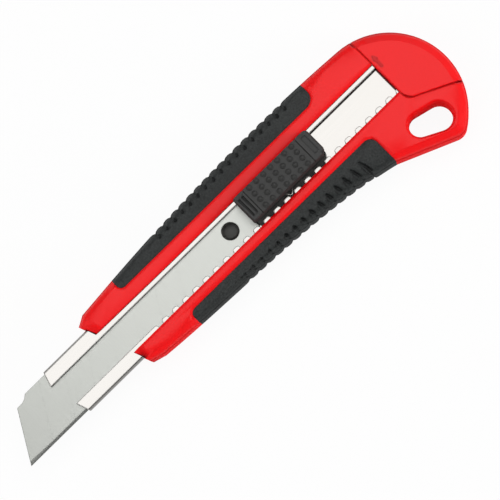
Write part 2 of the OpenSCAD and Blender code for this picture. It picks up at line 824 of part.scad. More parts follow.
module blade_channel() {
    color(steel)
        intersection() {
            union() {
                along_x(channel_x[0] - 1, channel_x[1]) polygon(channel_half(lip_spine_y));
                mirror([0, 1, 0])
                    along_x(channel_x[0] - 1, channel_x[1]) polygon(channel_half(notch_root_y));
                translate([0, 0, under_lip_z])
                    linear_extrude(channel_t) polygon(toothed_lip());
            }
            translate([0, 0, channel_z - 1]) linear_extrude(channel_h + 2) polygon(channel_front());
        }
}

// ---- Blade ----

function blade_plan() =
    let (
        w = blade_w / 2,
        corner = blade_tip_x + blade_w / tan(blade_angle),
        l = blade_cut_l,
        d = blade_cut_d
    )
    [
        [blade_tip_x, -w], [blade_end_x, -w], [blade_end_x, w],
        [corner + l, w], [corner + 0.7 * l, w - 0.65 * d], [corner + 0.35 * l, w - 0.97 * d],
        [corner - d / tan(blade_angle), w - d]
    ];

// Width that is left of the cutting edge
keen = 0.08;

// The blade's section: ground from both faces to a narrow edge
function blade_section() =
    let (w = blade_w / 2, e = keen / 2)
    [
        [-w, blade_t / 2 - e], [-w + grind_w, 0], [w, 0],
        [w, blade_t], [-w + grind_w, blade_t], [-w, blade_t / 2 + e]
    ];

module score(k) {
    translate([blade_tip_x + k * segment_l, -blade_w / 2, blade_z + blade_t])
        rotate([0, 0, blade_angle])
            translate([-2, 0, 0])
                rotate([45, 0, 0])
                    translate([0, -score_d, -score_d]) cube([blade_w * 1.4, 2 * score_d, 2 * score_d]);
}

module blade() {
    color([0.79, 0.79, 0.77])
        difference() {
            intersection() {
                translate([0, 0, blade_z])
                    along_x(blade_tip_x - 1, blade_end_x + 1) polygon(blade_section());
                translate([0, 0, blade_z - 1]) linear_extrude(blade_t + 2) polygon(blade_plan());
            }
            for (k = [1:score_count]) score(k);
            translate([stud_x, 0, blade_z - 1]) cylinder(r = stud_r + push_fit, h = blade_t + 2);
        }
}

// ---- Slider ----

spring_room = 1.3;
spring_top_gap = 0.1;
spring_bottom = button_z - spring_top_gap - spring_h;
neck_y = [spring_room - lip_edge_y, lip_spine_y - slide_fit];
neck_ahead = 0.5;
neck_behind = 1;
neck_x = [blade_end_x + neck_ahead, slider_end_x - neck_behind];
tongue_ahead = 6;
tongue_w = 10;
stud_over = 0.5;
stud_dome = 0.4;
relief_l = 8;
relief_d = 1.2;
peg_inset = 3;
peg_xs = [slider_x + front_block_l + peg_inset, slider_end_x - rear_block_l - peg_inset];
peg_y = (neck_y[0] + neck_y[1]) / 2;
peg_r = 1.2;
peg_h = 2.2;

// Room for the spring along the neck, and behind its bump for it to bend into
module spring_space() {
    z = spring_bottom - slide_fit;
    translate([neck_x[0] - 1, neck_y[0] - far, z]) cube([neck_x[1] - neck_x[0] + 2, far, far]);
    translate([bump_x - relief_l / 2, neck_y[0] - 1, z]) cube([relief_l, 1 + relief_d, far]);
}

module blade_carrier() {
    w = side_y - channel_t - slide_fit;
    blade_top = blade_z + blade_t;
    color(black) {
        // Tongue under the blade
        translate([stud_x - tongue_ahead, -tongue_w / 2, carrier_z])
            cube([neck_x[0] - stud_x + tongue_ahead + neck_ahead, tongue_w, tongue_t]);
        // Stud
        translate([stud_x, 0, blade_z - eps]) cylinder(r = stud_r, h = blade_t + stud_over + eps);
        translate([stud_x, 0, blade_top + stud_over - eps])
            cylinder(r1 = stud_r, r2 = stud_r - stud_dome, h = stud_dome);
        // Shoe that runs inside the channel, and the neck between the lips
        difference() {
            union() {
                translate([neck_x[0], -w, carrier_z])
                    cube([neck_x[1] - neck_x[0], 2 * w, under_lip_z - slide_fit - carrier_z]);
                translate([neck_x[0], neck_y[0], carrier_z])
                    cube([neck_x[1] - neck_x[0], neck_y[1] - neck_y[0], button_z - carrier_z]);
            }
            spring_space();
        }
        // Pegs that the button is pushed on
        for (x = peg_xs)
            translate([x, peg_y, button_z - eps]) cylinder(r = peg_r, h = peg_h);
    }
}

// The slider's outline in plan: small corners in front, a round and a cut corner behind
function slider_plan() =
    let (x0 = slider_x, x1 = slider_end_x, y0 = slider_y, y1 = slider_top_y, r = slider_corner)
    concat(
        [[x0 + 0.4, y0], [x1 - r, y0], [x1, y0 + r]],
        arc([x1 - r, y1 - r], r, 0, 90, 6),
        [[x0 + 0.4, y1], [x0, y1 - 0.4], [x0, y0 + 0.4]]
    );

// The slider seen along Y: a saddle between two blocks
function slider_side(z) =
    let (
        x0 = slider_x, x1 = slider_end_x, a = x0 + front_block_l, b = x1 - rear_block_l,
        top = slider_top_z, seat = slider_top_z - pad_t, e = slider_edge
    )
    [
        [x0, z], [x1, z], [x1, top - e], [x1 - e, top], [b, top], [b, seat],
        [a, seat], [a, top], [x0 + e, top], [x0, top - e]
    ];

// Length of a groove across a block, clear of its edges
block_groove_l = slider_w - 2 * block_groove_rest;

module slider_button() {
    color(black)
        difference() {
            intersection() {
                translate([0, 0, button_z]) linear_extrude(slider_top_z) polygon(slider_plan());
                translate([0, far / 2, 0]) rotate([90, 0, 0])
                    linear_extrude(far) polygon(slider_side(button_z));
            }
            for (x = peg_xs)
                translate([x, peg_y, button_z - 1]) cylinder(r = peg_r + push_fit, h = peg_h + 1.1);
            // Two grooves on the front block, and a finer one on the rear block
            for (k = [1, 2])
                translate([
                    slider_x + k * block_groove_pitch,
                    slider_y + block_groove_rest,
                    slider_top_z - block_groove_d
                ])
                    cube([block_groove_w, block_groove_l, 1]);
            translate([
                slider_end_x - rear_block_l / 2,
                slider_y + block_groove_rest,
                slider_top_z - block_groove_d / 2
            ])
                cube([block_groove_w / 2, block_groove_l, 1]);
        }
}

module thumb_pad() {
    x0 = slider_x + front_block_l + pad_gap;
    x1 = slider_end_x - rear_block_l - pad_gap;
    color([0.23, 0.23, 0.22]) {
        translate([x0, slider_y, slider_top_z - pad_t]) cube([x1 - x0, slider_w, pad_t - push_fit]);
        for (i = [0:nub_cols - 1], j = [0:nub_rows - 1])
            translate([
                (x0 + x1) / 2 + (i - (nub_cols - 1) / 2) * nub_pitch_x,
                slider_y + slider_w / 2 + (j - (nub_rows - 1) / 2) * nub_pitch_y,
                slider_top_z - 2 * push_fit
            ])
                cylinder(r1 = nub_r, r2 = nub_r * 0.6, h = nub_h);
    }
}

// The spring's line in plan: a flat strip along the neck with a rounded V that reaches a notch
function spring_line(y) =
    let (
        a = slider_x + front_block_l, b = slider_end_x - rear_block_l + 0.6,
        v = y - bump_d, x = bump_x, w = bump_w / 2, r = 0.12 * bump_d
    )
    [
        [a, y], [x - w, y], [x - w + 0.25, y - r], [x - 0.45, v + r],
        [x - 0.2, v], [x + 0.2, v], [x + 0.45, v + r],
        [x + w - 0.25, y - r], [x + w, y], [b, y]
    ];

module ratchet_spring() {
    out = spring_line(neck_y[0] - spring_t);
    back = spring_line(neck_y[0]);
    color([0.45, 0.44, 0.42])
        translate([0, 0, spring_bottom])
            linear_extrude(spring_h)
                polygon(concat(out, [for (i = [len(back) - 1:-1:0]) back[i]]));
}

body_shell();
spine_grip();
edge_grip();
blade_channel();
end_cap();
blade();
blade_carrier();
slider_button();
thumb_pad();
ratchet_spring();
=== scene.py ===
import math

import bmesh
import bpy
from mathutils import Matrix, Vector


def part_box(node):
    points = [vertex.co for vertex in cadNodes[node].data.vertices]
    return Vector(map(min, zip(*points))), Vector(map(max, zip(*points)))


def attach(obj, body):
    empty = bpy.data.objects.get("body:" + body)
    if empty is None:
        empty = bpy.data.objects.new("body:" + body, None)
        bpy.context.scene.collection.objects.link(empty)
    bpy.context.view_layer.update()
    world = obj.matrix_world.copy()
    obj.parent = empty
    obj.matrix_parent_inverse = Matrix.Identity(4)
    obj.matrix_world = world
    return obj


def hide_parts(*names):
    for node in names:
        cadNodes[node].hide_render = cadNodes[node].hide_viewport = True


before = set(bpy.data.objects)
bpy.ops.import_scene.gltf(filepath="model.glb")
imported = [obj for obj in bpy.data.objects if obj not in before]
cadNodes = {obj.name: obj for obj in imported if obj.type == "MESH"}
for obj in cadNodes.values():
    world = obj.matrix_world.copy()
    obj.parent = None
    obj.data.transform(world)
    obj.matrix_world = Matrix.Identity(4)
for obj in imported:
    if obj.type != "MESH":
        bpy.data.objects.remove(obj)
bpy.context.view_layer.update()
mm = 0.001
handleThickness = 13.0  # every size below is in mm
softEdge = 30  # degrees, below which two faces shade as one surface
mergeGap = 1e-6  # metres, within which two corners are one
print("frame loaded")


# Helpers for meshes

def finishPiece(name, mesh, body, material, *nodes):
    piece = bpy.data.objects.new(name, mesh)
    bpy.context.scene.collection.objects.link(piece)
    mesh.materials.clear()
    mesh.materials.append(material)
    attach(piece, body)
    if nodes:
        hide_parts(*nodes)
        level = piece.modifiers.new("flatFaces", "WEIGHTED_NORMAL")
        level.mode = "FACE_AREA"
        level.weight = 90  # wide faces stay flat beside the narrow ones that a cut leaves
        level.keep_sharp = True
    return piece


def meshFrom(bm, name):
    bmesh.ops.remove_doubles(bm, verts=bm.verts, dist=mergeGap)
    bmesh.ops.recalc_face_normals(bm, faces=bm.faces)
    mesh = bpy.data.meshes.new(name)
    bm.to_mesh(mesh)
    bm.free()
    return mesh


def smoothBelow(mesh, degrees):
    mesh.shade_smooth()
    mesh.set_sharp_from_angle(angle=math.radians(degrees))


def copyOf(node):
    # a merged copy of a CAD node
    bm = bmesh.new()
    bm.from_mesh(cadNodes[node].data)
    return meshFrom(bm, node + "Copy")


def carve(node, cutter, name):
    # a copy of a CAD node with a cutter's shapes taken out of it
    block = bpy.data.objects.new(name, copyOf(node))
    tool = bpy.data.objects.new(name + "Cutter", cutter)
    for item in (block, tool):
        bpy.context.scene.collection.objects.link(item)
    cut = block.modifiers.new("cut", "BOOLEAN")
    cut.operation = "DIFFERENCE"
    cut.solver = "EXACT"
    cut.object = tool
    bpy.context.view_layer.update()
    shaped = block.evaluated_get(bpy.context.evaluated_depsgraph_get())
    bm = bmesh.new()
    bm.from_mesh(shaped.data)
    for item in (block, tool):
        bpy.data.objects.remove(item)
    mesh = meshFrom(bm, name)
    smoothBelow(mesh, softEdge)
    return mesh


def tubeAlong(paths, radius, name):
    # four-sided tubes, a corner up and a corner down
    curve = bpy.data.curves.new(name, "CURVE")
    curve.dimensions = "3D"
    curve.bevel_depth = radius * mm
    curve.bevel_resolution = 0
    curve.use_fill_caps = True
    for path in paths:
        spline = curve.splines.new("POLY")
        spline.points.add(len(path) - 1)
        for point, place in zip(spline.points, path):
            point.co = (*[value * mm for value in place], 1.0)
    holder = bpy.data.objects.new(name, curve)
    bpy.context.scene.collection.objects.link(holder)
    bpy.context.view_layer.update()
    mesh = bpy.data.meshes.new_from_object(holder.evaluated_get(bpy.context.evaluated_depsgraph_get()))
    bpy.data.objects.remove(holder)
    bm = bmesh.new()
    bm.from_mesh(mesh)
    return meshFrom(bm, name)


def addBox(bm, low, high):
    middle = [(a + b) / 2 * mm for a, b in zip(low, high)]
    size = [(b - a) * mm for a, b in zip(low, high)]
    place = Matrix.Translation(middle) @ Matrix.Diagonal((*size, 1.0))
    bmesh.ops.create_cube(bm, size=1.0, matrix=place)


def addBowl(bm, middle, radii, turn=0.0):
    place = Matrix.Translation([value * mm for value in middle])
    place = place @ Matrix.Rotation(math.radians(turn), 4, "Z") @ Matrix.Diagonal((*radii, 1.0))
    bmesh.ops.create_uvsphere(bm, u_segments=20, v_segments=12, radius=mm, matrix=place)


# Shader groups

# where each mask sets in and where it is full
maskEnds = {
    "crease": (0.97, 0.6), "mouldedWall": (0.5, 0.15), "paintedSteelWallShade": (0.95, 0.35), "edge": (0.995, 0.86),
    "chips": (0.35, 0.65),
}


def newGroup(name, inputs, outputs):
    group = bpy.data.node_groups.new(name, "ShaderNodeTree")
    for label, value in inputs:
        kind = "NodeSocketColor" if isinstance(value, tuple) else "NodeSocketFloat"
        socket = group.interface.new_socket(label, in_out="INPUT", socket_type=kind)
        socket.default_value = value
    for label, kind in outputs:
        group.interface.new_socket(label, in_out="OUTPUT", socket_type=kind)
    start = group.nodes.new("NodeGroupInput")
    end = group.nodes.new("NodeGroupOutput")
    return group, start, end


def addNode(tree, kind, **settings):
    node = tree.nodes.new("ShaderNode" + kind)
    for key, value in settings.items():
        setattr(node, key, value)
    return node


def feed(tree, socket, value):
    # a link or a plain number into a socket
    if isinstance(value, bpy.types.NodeSocket):
        tree.links.new(value, socket)
    else:
        socket.default_value = value


def addMath(tree, operation, *values):
    node = addNode(tree, "Math", operation=operation)
    for socket, value in zip(node.inputs, values):
        feed(tree, socket, value)
    return node.outputs[0]


def addRange(tree, value, fromLow, fromHigh, toLow=0.0, toHigh=1.0):
    node = addNode(tree, "MapRange")
    labels = ("Value", "From Min", "From Max", "To Min", "To Max")
    for label, amount in zip(labels, (value, fromLow, fromHigh, toLow, toHigh)):
        feed(tree, node.inputs[label], amount)
    return node.outputs["Result"]


def addNoise(tree, place, scale, detail):
    node = addNode(tree, "TexNoise", noise_dimensions="3D")
    for label, amount in {"Vector": place, "Scale": scale, "Detail": detail}.items():
        feed(tree, node.inputs[label], amount)
    return node.outputs["Fac"]


def addTint(tree, color, amount):
    node = addNode(tree, "VectorMath", operation="SCALE")
    feed(tree, node.inputs[0], color)
    feed(tree, node.inputs["Scale"], amount)
    return node.outputs[0]


def addUpright(tree, place):
    # 1 where a surface lies level, 0 where it stands upright
    parts = addNode(tree, "SeparateXYZ")
    feed(tree, parts.inputs[0], place.outputs["Normal"])
    return addMath(tree, "ABSOLUTE", parts.outputs["Z"])


def addBlend(tree, factor, first, second):
    node = addNode(tree, "Mix", data_type="FLOAT")
    for label, amount in {"Factor": factor, "A": first, "B": second}.items():
        feed(tree, node.inputs[label], amount)
    return node.outputs["Result"]


def buildGrain():
    # fine speckle, slow blotches and painted shade in creases, for moulded and rubber surfaces
    group, start, end = newGroup(
        "moulding",
        [("Color", (0.5, 0.5, 0.5, 1.0)), ("Speckle Size", 2500.0), ("Speckle", 0.1),
         ("Blotch Size", 60.0), ("Blotch", 0.08), ("Roughness", 0.5), ("Roughness Spread", 0.08),
         ("Wall Roughness", 0.9), ("Crease Depth", 0.0007), ("Painted Crease Shade", 0.4)],
        [("Color", "NodeSocketColor"), ("Roughness", "NodeSocketFloat"), ("Height", "NodeSocketFloat")],
    )
    given = start.outputs
    place = addNode(group, "TexCoord")
    speckle = addNoise(group, place.outputs["Object"], given["Speckle Size"], 3.0)
    blotch = addNoise(group, place.outputs["Object"], given["Blotch Size"], 4.0)
    # both swing about the given colour
    blotched = addMath(group, "MULTIPLY_ADD", blotch, given["Blotch"], 1.0)
    blotched = addMath(group, "MULTIPLY_ADD", given["Blotch"], -0.5, blotched)
    swing = addMath(group, "SUBTRACT", speckle, 0.5)
    speckled = addMath(group, "MULTIPLY_ADD", swing, given["Speckle"], blotched)
    # painted shade: the colour darkens where ambient occlusion finds creases and recesses
    crease = addNode(group, "AmbientOcclusion", samples=8)
    feed(group, crease.inputs["Distance"], given["Crease Depth"])
    darkest = addMath(group, "SUBTRACT", 1.0, given["Painted Crease Shade"])
    paintedCreaseShade = addRange(group, crease.outputs["AO"], *maskEnds["crease"], 1.0, darkest)
    shade = addMath(group, "MULTIPLY", speckled, paintedCreaseShade)
    feed(group, end.inputs["Color"], addTint(group, given["Color"], shade))
    rough = addMath(group, "MULTIPLY_ADD", blotch, given["Roughness Spread"], given["Roughness"])
    wall = addRange(group, addUpright(group, place), *maskEnds["mouldedWall"])
    feed(group, end.inputs["Roughness"], addBlend(group, wall, rough, given["Wall Roughness"]))
    feed(group, end.inputs["Height"], speckle)
    return group


def buildBrushing():
    # fine lines in one direction and painted shade on upright walls, for rolled and ground steel
    group, start, end = newGroup(
        "brushing",
        [("Color", (0.5, 0.5, 0.5, 1.0)), ("Along X", 60.0), ("Along Y", 6000.0),
         ("Contrast", 0.1), ("Roughness", 0.25), ("Roughness Spread", 0.1), ("Painted Wall Shade", 0.8)],
        [("Color", "NodeSocketColor"), ("Roughness", "NodeSocketFloat"), ("Height", "NodeSocketFloat")],
    )
    given = start.outputs
    place = addNode(group, "TexCoord")
    stretch = addNode(group, "CombineXYZ")
    for label, amount in {"X": given["Along X"], "Y": given["Along Y"], "Z": given["Along Y"]}.items():
        feed(group, stretch.inputs[label], amount)
    scaled = addNode(group, "VectorMath", operation="MULTIPLY")
    feed(group, scaled.inputs[0], place.outputs["Object"])
    feed(group, scaled.inputs[1], stretch.outputs[0])
    lines = addNoise(group, scaled.outputs[0], 1.0, 3.0)
    swing = addMath(group, "SUBTRACT", lines, 0.5)
    lined = addMath(group, "MULTIPLY_ADD", swing, given["Contrast"], 1.0)
    # painted shade: upright steel walls get a darker colour, standing in for the dark surroundings they
    # mirror
    wall = addRange(group, addUpright(group, place), *maskEnds["paintedSteelWallShade"], 1.0, given["Painted Wall Shade"])
    shade = addMath(group, "MULTIPLY", lined, wall)
    feed(group, end.inputs["Color"], addTint(group, given["Color"], shade))
    rough = addMath(group, "MULTIPLY_ADD", swing, given["Roughness Spread"], given["Roughness"])
    feed(group, end.inputs["Roughness"], rough)
    feed(group, end.inputs["Height"], lines)
    return group


def buildRounding():
    # rounds the light over the edges, and marks them for wear
    group, start, end = newGroup(
        "rounding",
        [("Radius", 0.0004), ("Wear Size", 900.0), ("Wear", 1.0)],
        [("Normal", "NodeSocketVector"), ("Edge", "NodeSocketFloat")],
    )
    given = start.outputs
    soft = addNode(group, "Bevel", samples=6)
    feed(group, soft.inputs["Radius"], given["Radius"])
    feed(group, end.inputs["Normal"], soft.outputs["Normal"])
    surface = addNode(group, "NewGeometry")
    facing = addNode(group, "VectorMath", operation="DOT_PRODUCT")
    feed(group, facing.inputs[0], soft.outputs["Normal"])
    feed(group, facing.inputs[1], surface.outputs["Normal"])
    bend = addRange(group, facing.outputs["Value"], *maskEnds["edge"])
    place = addNode(group, "TexCoord")
    chips = addNoise(group, place.outputs["Object"], given["Wear Size"], 4.0)
    uneven = addRange(group, chips, *maskEnds["chips"])
    worn = addMath(group, "MULTIPLY", addMath(group, "MULTIPLY", bend, uneven), given["Wear"])
    feed(group, end.inputs["Edge"], worn)
    return group


grainGroup = buildGrain()
brushingGroup = buildBrushing()
roundingGroup = buildRounding()


def makeMaterial(name, group, values, bump, bumpDepth, edges, metallic=0.0, specular=0.5):
    material = bpy.data.materials.new(name)
    material.use_nodes = True
    tree = material.node_tree
    shader = tree.nodes["Principled BSDF"]
    surface = tree.nodes.new("ShaderNodeGroup")
    surface.node_tree = group
    for label, value in values.items():
        surface.inputs[label].default_value = value
    rim = tree.nodes.new("ShaderNodeGroup")
    rim.node_tree = roundingGroup
    rim.inputs["Radius"].default_value = edges["radius"]
    rim.inputs["Wear"].default_value = edges["wear"]
    relief = addNode(tree, "Bump")
    relief.inputs["Strength"].default_value = bump
    relief.inputs["Distance"].default_value = bumpDepth
    feed(tree, relief.inputs["Height"], surface.outputs["Height"])
    feed(tree, relief.inputs["Normal"], rim.outputs["Normal"])
    worn = addNode(tree, "Mix", data_type="RGBA")
    feed(tree, worn.inputs["Factor"], rim.outputs["Edge"])
    feed(tree, worn.inputs["A"], surface.outputs["Color"])
    worn.inputs["B"].default_value = edges["color"]
    shader.inputs["Metallic"].default_value = metallic
    shader.inputs["Specular IOR Level"].default_value = specular
    feed(tree, shader.inputs["Base Color"], worn.outputs["Result"])
    feed(tree, shader.inputs["Roughness"], surface.outputs["Roughness"])
    feed(tree, shader.inputs["Normal"], relief.outputs["Normal"])
    return material


# a darker copy of the cap's red plastic for the raised arrow: painted shade
shadedRedRelief = makeMaterial(
    "shadedRedRelief", grainGroup,
    {"Color": (0.6, 0.003, 0.005, 1.0), "Speckle Size": 3200.0, "Blotch Size": 45.0,
     "Blotch": 0.06, "Roughness": 0.3, "Roughness Spread": 0.08},
    bump=0.2, bumpDepth=0.00005,
    edges={"radius": 0.0001, "wear": 0.2, "color": (0.93, 0.03, 0.03, 1.0)}, specular=0.28,
)
redPlastic = makeMaterial(
    "redPlastic", grainGroup,
    {"Color": (0.9, 0.004, 0.006, 1.0), "Speckle Size": 3200.0, "Blotch Size": 45.0,
     "Blotch": 0.06, "Roughness": 0.3, "Roughness Spread": 0.08},
    bump=0.25, bumpDepth=0.00006,
    edges={"radius": 0.0004, "wear": 0.25, "color": (0.93, 0.03, 0.03, 1.0)}, specular=0.28,
)
softRubber = makeMaterial(
    "softRubber", grainGroup,
    {"Color": (0.021, 0.0235, 0.023, 1.0), "Speckle Size": 1800.0, "Speckle": 2.0, "Blotch Size": 150.0,
     "Blotch": 0.4, "Roughness": 0.42, "Roughness Spread": 0.12,
     "Crease Depth": 0.001, "Painted Crease Shade": 0.75},
    bump=0.9, bumpDepth=0.00015,
    edges={"radius": 0.0003, "wear": 0.5, "color": (0.04, 0.042, 0.042, 1.0)}, specular=0.3,
)
sliderPlastic = makeMaterial(
    "sliderPlastic", grainGroup,
    {"Color": (0.039, 0.039, 0.038, 1.0), "Speckle Size": 3000.0, "Speckle": 0.3, "Blotch Size": 90.0,
     "Blotch": 0.15, "Roughness": 0.4, "Roughness Spread": 0.1},
    bump=0.35, bumpDepth=0.00008,
    edges={"radius": 0.0002, "wear": 0.5, "color": (0.06, 0.06, 0.058, 1.0)}, specular=0.3,
)
padRubber = makeMaterial(
    "padRubber", grainGroup,
    {"Color": (0.031, 0.031, 0.03, 1.0), "Speckle Size": 2800.0, "Speckle": 0.3, "Blotch Size": 90.0,
     "Blotch": 0.15, "Roughness": 0.33, "Roughness Spread": 0.08,
     "Crease Depth": 0.0009, "Painted Crease Shade": 0.85},
    bump=0.35, bumpDepth=0.00008,
    edges={"radius": 0.00012, "wear": 0.5, "color": (0.06, 0.06, 0.058, 1.0)}, specular=0.3,
)
studPlastic = makeMaterial(
    "studPlastic", grainGroup,
    {"Color": (0.072, 0.072, 0.066, 1.0), "Speckle Size": 3000.0, "Speckle": 0.3, "Blotch Size": 300.0,
     "Blotch": 0.25, "Roughness": 0.4, "Roughness Spread": 0.1},
    bump=0.3, bumpDepth=0.00008,
    edges={"radius": 0.0002, "wear": 0.3, "color": (0.08, 0.08, 0.075, 1.0)}, specular=0.3,
)
channelSteel = makeMaterial(
    "channelSteel", brushingGroup,
    {"Color": (0.5, 0.486, 0.466, 1.0), "Along X": 30.0, "Along Y": 2500.0,
     "Contrast": 0.06, "Roughness": 0.08, "Roughness Spread": 0.04, "Painted Wall Shade": 0.4},
    bump=0.02, bumpDepth=0.00001, metallic=1.0,
    edges={"radius": 0.00055, "wear": 0.1, "color": (0.57, 0.56, 0.54, 1.0)},
)
bladeSteel = makeMaterial(
    "bladeSteel", brushingGroup,
    {"Color": (0.49, 0.501, 0.473, 1.0), "Along X": 2500.0, "Along Y": 100.0,
     "Contrast": 0.12, "Roughness": 0.34, "Roughness Spread": 0.12},
    bump=0.12, bumpDepth=0.00003, metallic=1.0,
    edges={"radius": 0.0003, "wear": 0.05, "color": (0.68, 0.68, 0.66, 1.0)},
)
springSteel = makeMaterial(
    "springSteel", brushingGroup,
    {"Color": (0.52, 0.51, 0.475, 1.0), "Along X": 300.0, "Along Y": 3000.0,
     "Contrast": 0.1, "Roughness": 0.25, "Roughness Spread": 0.1},
    bump=0.1, bumpDepth=0.00003, metallic=1.0,
    edges={"radius": 0.0002, "wear": 0.3, "color": (0.85, 0.84, 0.8, 1.0)},
)
print("materials built")

finishes = {
    "body_shell": redPlastic, "end_cap": redPlastic, "spine_grip": softRubber, "edge_grip": softRubber,
    "blade_channel": channelSteel, "blade": bladeSteel, "blade_carrier": studPlastic,
    "slider_button": sliderPlastic, "thumb_pad": padRubber, "ratchet_spring": springSteel,
}
for nodeName, material in finishes.items():
    cadMesh = cadNodes[nodeName].data
    cadMesh.materials.clear()
    cadMesh.materials.append(material)


# Arrow in relief on the end cap, pointing the way it comes off
arrowSizes = {
    "middle": (55.1, 5.5), "length": 4.8, "head": 1.7, "width": 1.6, "stem": 0.6,
    "height": 0.25, "sunk": 0.05,
}


def makeArrow(sizes):
    bm = bmesh.new()
    high = sizes["length"] / 2
    neck = high - sizes["head"]
    stem = sizes["stem"] / 2
    wide = sizes["width"] / 2
    outline = [
        (-stem, -high), (stem, -high), (stem, neck), (wide, neck), (0.0, high),
        (-wide, neck), (-stem, neck),
    ]
    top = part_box("end_cap")[1][2]
    foot = top - sizes["sunk"] * mm
    middleX, middleY = sizes["middle"]
    corners = [bm.verts.new(((middleX + x) * mm, (middleY + y) * mm, foot)) for x, y in outline]
    face = bm.faces.new(corners)
    raised = bmesh.ops.extrude_face_region(bm, geom=[face])
    lifted = [item for item in raised["geom"] if isinstance(item, bmesh.types.BMVert)]
    bmesh.ops.translate(bm, verts=lifted, vec=(0, 0, (sizes["height"] + sizes["sunk"]) * mm))
    return meshFrom(bm, "capArrow")


finishPiece("capArrow", makeArrow(arrowSizes), "cap", shadedRedRelief)
print("arrow made")


# Joint between the handle and its cap: a V along both edges, and a seam that closes the gap below it
jointSizes = {
    "x": 53.25, "turn": (57.15, -7.25), "turnRadius": 3.9, "lean": 25.6, "rise": 14.4, "end": 13.4,
    "past": 3.0, "fall": 3.1, "steps": 6, "width": 0.42,
}
seamSizes = {"radius": 0.09, "below": 0.35, "share": 0.5}


def jointPath(sizes, top, below, share):
    # down the spine side, over the face, round the turn and out on the edge side
    lean = math.radians(sizes["lean"])
    past = sizes["past"] * share
    fall = sizes["fall"] * share
    path = [(sizes["x"], sizes["rise"] + past, top - fall - below)]
    path.append((sizes["x"], sizes["rise"], top - below))
    for k in range(sizes["steps"] + 1):
        angle = math.pi + (math.pi / 2 - lean) * k / sizes["steps"]
        path.append((
            sizes["turn"][0] + sizes["turnRadius"] * math.cos(angle),
            sizes["turn"][1] + sizes["turnRadius"] * math.sin(angle), top - below,
        ))
    x, y = path[-1][:2]
    for reach, drop in ((sizes["end"], 0.0), (sizes["end"] + past, fall)):
        path.append((x + reach * math.cos(lean), y - reach * math.sin(lean), top - drop - below))
    return path


def jointPaths(sizes, below=0.0, share=1.0):
    upper = jointPath(sizes, handleThickness, below, share)
    return [upper, [(x, y, handleThickness - z) for x, y, z in upper]]


def makeJointed(node, name, sizes):
    return carve(node, tubeAlong(jointPaths(sizes), sizes["width"], name + "Groove"), name)


def makeSeam(sizes, seam):
    return tubeAlong(jointPaths(sizes, seam["below"], seam["share"]), seam["radius"], "jointSeam")


jointedShell = makeJointed("body_shell", "jointedShell", jointSizes)
jointedCap = makeJointed("end_cap", "jointedCap", jointSizes)
finishPiece("jointedShell", jointedShell, "handle", redPlastic, "body_shell")
finishPiece("jointedCap", jointedCap, "cap", redPlastic, "end_cap")
finishPiece("jointSeam", makeSeam(jointSizes, seamSizes), "handle", redPlastic)
print("joint cut")


# Soft grips: a bowl at the foot of each scallop, and a hollow along each slanted groove
scallopSizes = {
    "first": -33.65, "pitch": 3.56, "count": 17, "ahead": 0.4, "inside": 2.3,
    "radii": (0.62, 0.95, 0.85),
}
grooveSizes = {
    "first": -22.4, "pitch": 3.62, "count": 15, "top": 12.9, "lean": 14.0, "rest": 0.9,
    "width": 0.55, "depth": 0.95,
}
ridgeSizes = {
    "aside": 1.05, "shift": 1.2, "drop": 1.25, "sunk": 0.15, "width": 0.34, "share": 0.6, "height": 0.45,
}


def outlineAt(node, x, reach, side):
    # how far out a node comes near x, on the spine side (1) or the edge side (-1)
    points = [vertex.co for vertex in cadNodes[node].data.vertices]
    return max(point.y * side for point in points if abs(point.x - x * mm) < reach * mm) / mm


def makeSpineGrip(sizes):
    bm = bmesh.new()
    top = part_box("spine_grip")[1][2] / mm
    for k in range(sizes["count"]):
        x = sizes["first"] + k * sizes["pitch"]
        y = outlineAt("spine_grip", x, sizes["pitch"] / 2, 1) - sizes["inside"]
        for z in (top, handleThickness - top):
            addBowl(bm, (x + sizes["ahead"], y, z), sizes["radii"])
    return carve("spine_grip", meshFrom(bm, "scallopCutter"), "scallopedGrip")


def makeEdgeGrip(sizes, ridge):
    bm = bmesh.new()
    ridges = bmesh.new()
    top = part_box("edge_grip")[1][2] / mm
    for k in range(sizes["count"]):
        x = sizes["first"] + k * sizes["pitch"]
        low = outlineAt("edge_grip", x, sizes["pitch"] / 2, -1) - sizes["rest"]
        half = (low - sizes["top"]) / 2
        shift = half * math.tan(math.radians(sizes["lean"]))
        for z in (top, handleThickness - top):
            middle = (x + shift, -sizes["top"] - half, z)
            addBowl(bm, middle, (sizes["width"], half, sizes["depth"]), sizes["lean"])
            middle = (
                x + ridge["shift"] * shift - ridge["aside"], -sizes["top"] - ridge["drop"] * half,
                z - math.copysign(ridge["sunk"], z - handleThickness / 2),
            )
            radii = (ridge["width"], half * ridge["share"], ridge["height"])
            addBowl(ridges, middle, radii, sizes["lean"] / 2)
    mesh = carve("edge_grip", meshFrom(bm, "grooveCutter"), "groovedGrip")
    ridges.from_mesh(mesh)
    ridges.to_mesh(mesh)
    ridges.free()
    return mesh


finishPiece("scallopedGrip", makeSpineGrip(scallopSizes), "handle", softRubber, "spine_grip")
finishPiece("groovedGrip", makeEdgeGrip(grooveSizes, ridgeSizes), "handle", softRubber, "edge_grip")
print("grips carved")


# Slider: two deep grooves on its front block, and a sunk panel on the rear one. Each is a box, given
# by its lowest and highest corners
buttonCuts = {
    "frontGroove": ((-7.5, -3.0, 18.6), (-6.9, 4.1, 20.0)),
    "backGroove": ((-6.0, -3.0, 18.6), (-5.4, 4.1, 20.0)),
    "panel": ((20.1, -2.5, 19.15), (22.0, 4.2, 20.0)),
}


def makeButton(cuts):
    bm = bmesh.new()
    for low, high in cuts.values():
        addBox(bm, low, high)
    return carve("slider_button", meshFrom(bm, "buttonCutter"), "sliderBlocks")


finishPiece("sliderBlocks", makeButton(buttonCuts), "carriage", sliderPlastic, "slider_button")
print("slider carved")


# Blade with shallow score lines
bladeSizes = {"scored": 0.057, "shallow": 0.01, "near": 0.006, "softEdge": 1}


